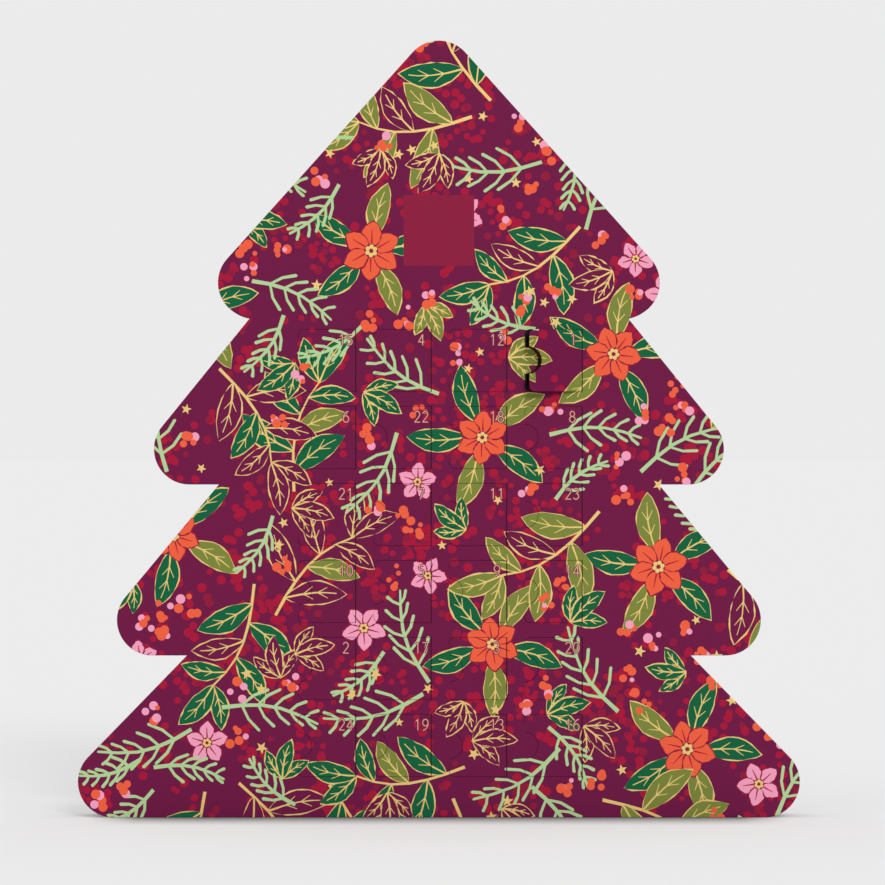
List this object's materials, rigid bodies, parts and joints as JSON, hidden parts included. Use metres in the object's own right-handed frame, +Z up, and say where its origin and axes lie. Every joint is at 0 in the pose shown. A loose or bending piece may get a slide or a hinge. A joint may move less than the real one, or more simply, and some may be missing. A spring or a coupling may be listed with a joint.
{
  "type": "chocolate advent calendar",
  "caption": "Tree-shaped card box that stands upright, with a grid of numbered hinged doors over a formed tray of moulded chocolates.",
  "frame": {"origin": "middle of the base, on the surface that the box stands on, halfway between its front and back", "axes": "+Z up the tree, -Y out of the printed front with its doors, +X to the right seen from the front"},
  "size_m": [0.361, 0.0407, 0.3885],
  "materials": {
    "printed_card": "satin",
    "plain_card": "satin",
    "tray_sheet": "gloss",
    "chocolate": "satin"
  },
  "bodies": {
    "box": {"front_panel": "printed_card", "back_panel": "plain_card", "left_wall": "plain_card", "right_wall": "plain_card", "base_wall": "plain_card", "tray": "tray_sheet", "chocolate_01": "chocolate", "chocolate_02": "chocolate", "chocolate_03": "chocolate", "chocolate_04": "chocolate", "chocolate_05": "chocolate", "chocolate_06": "chocolate", "chocolate_07": "chocolate", "chocolate_08": "chocolate", "chocolate_09": "chocolate", "chocolate_10": "chocolate", "chocolate_11": "chocolate", "chocolate_12": "chocolate", "chocolate_13": "chocolate", "chocolate_14": "chocolate", "chocolate_15": "chocolate", "chocolate_16": "chocolate", "chocolate_17": "chocolate", "chocolate_18": "chocolate", "chocolate_19": "chocolate", "chocolate_20": "chocolate", "chocolate_21": "chocolate", "chocolate_22": "chocolate", "chocolate_23": "chocolate", "chocolate_24": "chocolate"},
    "door_01": {"door_01": "printed_card"},
    "door_02": {"door_02": "printed_card"},
    "door_03": {"door_03": "printed_card"},
    "door_04": {"door_04": "printed_card"},
    "door_05": {"door_05": "printed_card"},
    "door_06": {"door_06": "printed_card"},
    "door_07": {"door_07": "printed_card"},
    "door_08": {"door_08": "printed_card"},
    "door_09": {"door_09": "printed_card"},
    "door_10": {"door_10": "printed_card"},
    "door_11": {"door_11": "printed_card"},
    "door_12": {"door_12": "printed_card"},
    "door_13": {"door_13": "printed_card"},
    "door_14": {"door_14": "printed_card"},
    "door_15": {"door_15": "printed_card"},
    "door_16": {"door_16": "printed_card"},
    "door_17": {"door_17": "printed_card"},
    "door_18": {"door_18": "printed_card"},
    "door_19": {"door_19": "printed_card"},
    "door_20": {"door_20": "printed_card"},
    "door_21": {"door_21": "printed_card"},
    "door_22": {"door_22": "printed_card"},
    "door_23": {"door_23": "printed_card"},
    "door_24": {"door_24": "printed_card"}
  },
  "joints": [
    {"name": "door_01_fold", "type": "hinge", "parent": "box", "child": "door_01", "pos_m": [0.07162, -0.015, 0.2285], "axis": [0, 0, 1], "range_deg": [-22, 98]},
    {"name": "door_02_fold", "type": "hinge", "parent": "box", "child": "door_02", "pos_m": [-0.04163, -0.015, 0.0745], "axis": [0, 0, 1], "range_deg": [0, 120]},
    {"name": "door_03_fold", "type": "hinge", "parent": "box", "child": "door_03", "pos_m": [0.03388, -0.015, 0.0745], "axis": [0, 0, 1], "range_deg": [0, 120]},
    {"name": "door_04_fold", "type": "hinge", "parent": "box", "child": "door_04", "pos_m": [-0.00387, -0.015, 0.2285], "axis": [0, 0, 1], "range_deg": [0, 120]},
    {"name": "door_05_fold", "type": "hinge", "parent": "box", "child": "door_05", "pos_m": [-0.00387, -0.015, 0.113], "axis": [0, 0, 1], "range_deg": [0, 120]},
    {"name": "door_06_fold", "type": "hinge", "parent": "box", "child": "door_06", "pos_m": [-0.04163, -0.015, 0.19], "axis": [0, 0, 1], "range_deg": [0, 120]},
    {"name": "door_07_fold", "type": "hinge", "parent": "box", "child": "door_07", "pos_m": [-0.00387, -0.015, 0.1515], "axis": [0, 0, 1], "range_deg": [0, 120]},
    {"name": "door_08_fold", "type": "hinge", "parent": "box", "child": "door_08", "pos_m": [0.07162, -0.015, 0.19], "axis": [0, 0, 1], "range_deg": [0, 120]},
    {"name": "door_09_fold", "type": "hinge", "parent": "box", "child": "door_09", "pos_m": [0.03388, -0.015, 0.113], "axis": [0, 0, 1], "range_deg": [0, 120]},
    {"name": "door_10_fold", "type": "hinge", "parent": "box", "child": "door_10", "pos_m": [-0.04163, -0.015, 0.113], "axis": [0, 0, 1], "range_deg": [0, 120]},
    {"name": "door_11_fold", "type": "hinge", "parent": "box", "child": "door_11", "pos_m": [0.03388, -0.015, 0.1515], "axis": [0, 0, 1], "range_deg": [0, 120]},
    {"name": "door_12_fold", "type": "hinge", "parent": "box", "child": "door_12", "pos_m": [0.03388, -0.015, 0.2285], "axis": [0, 0, 1], "range_deg": [0, 120]},
    {"name": "door_13_fold", "type": "hinge", "parent": "box", "child": "door_13", "pos_m": [0.03388, -0.015, 0.036], "axis": [0, 0, 1], "range_deg": [0, 120]},
    {"name": "door_14_fold", "type": "hinge", "parent": "box", "child": "door_14", "pos_m": [0.07162, -0.015, 0.113], "axis": [0, 0, 1], "range_deg": [0, 120]},
    {"name": "door_15_fold", "type": "hinge", "parent": "box", "child": "door_15", "pos_m": [-0.04163, -0.015, 0.2285], "axis": [0, 0, 1], "range_deg": [0, 120]},
    {"name": "door_16_fold", "type": "hinge", "parent": "box", "child": "door_16", "pos_m": [0.07162, -0.015, 0.036], "axis": [0, 0, 1], "range_deg": [0, 120]},
    {"name": "door_17_fold", "type": "hinge", "parent": "box", "child": "door_17", "pos_m": [-0.00387, -0.015, 0.0745], "axis": [0, 0, 1], "range_deg": [0, 120]},
    {"name": "door_18_fold", "type": "hinge", "parent": "box", "child": "door_18", "pos_m": [0.03388, -0.015, 0.19], "axis": [0, 0, 1], "range_deg": [0, 120]},
    {"name": "door_19_fold", "type": "hinge", "parent": "box", "child": "door_19", "pos_m": [-0.00387, -0.015, 0.036], "axis": [0, 0, 1], "range_deg": [0, 120]},
    {"name": "door_20_fold", "type": "hinge", "parent": "box", "child": "door_20", "pos_m": [0.07162, -0.015, 0.0745], "axis": [0, 0, 1], "range_deg": [0, 120]},
    {"name": "door_21_fold", "type": "hinge", "parent": "box", "child": "door_21", "pos_m": [-0.04163, -0.015, 0.1515], "axis": [0, 0, 1], "range_deg": [0, 120]},
    {"name": "door_22_fold", "type": "hinge", "parent": "box", "child": "door_22", "pos_m": [-0.00387, -0.015, 0.19], "axis": [0, 0, 1], "range_deg": [0, 120]},
    {"name": "door_23_fold", "type": "hinge", "parent": "box", "child": "door_23", "pos_m": [0.07162, -0.015, 0.1515], "axis": [0, 0, 1], "range_deg": [0, 120]},
    {"name": "door_24_fold", "type": "hinge", "parent": "box", "child": "door_24", "pos_m": [-0.04163, -0.015, 0.036], "axis": [0, 0, 1], "range_deg": [0, 120]}
  ]
}
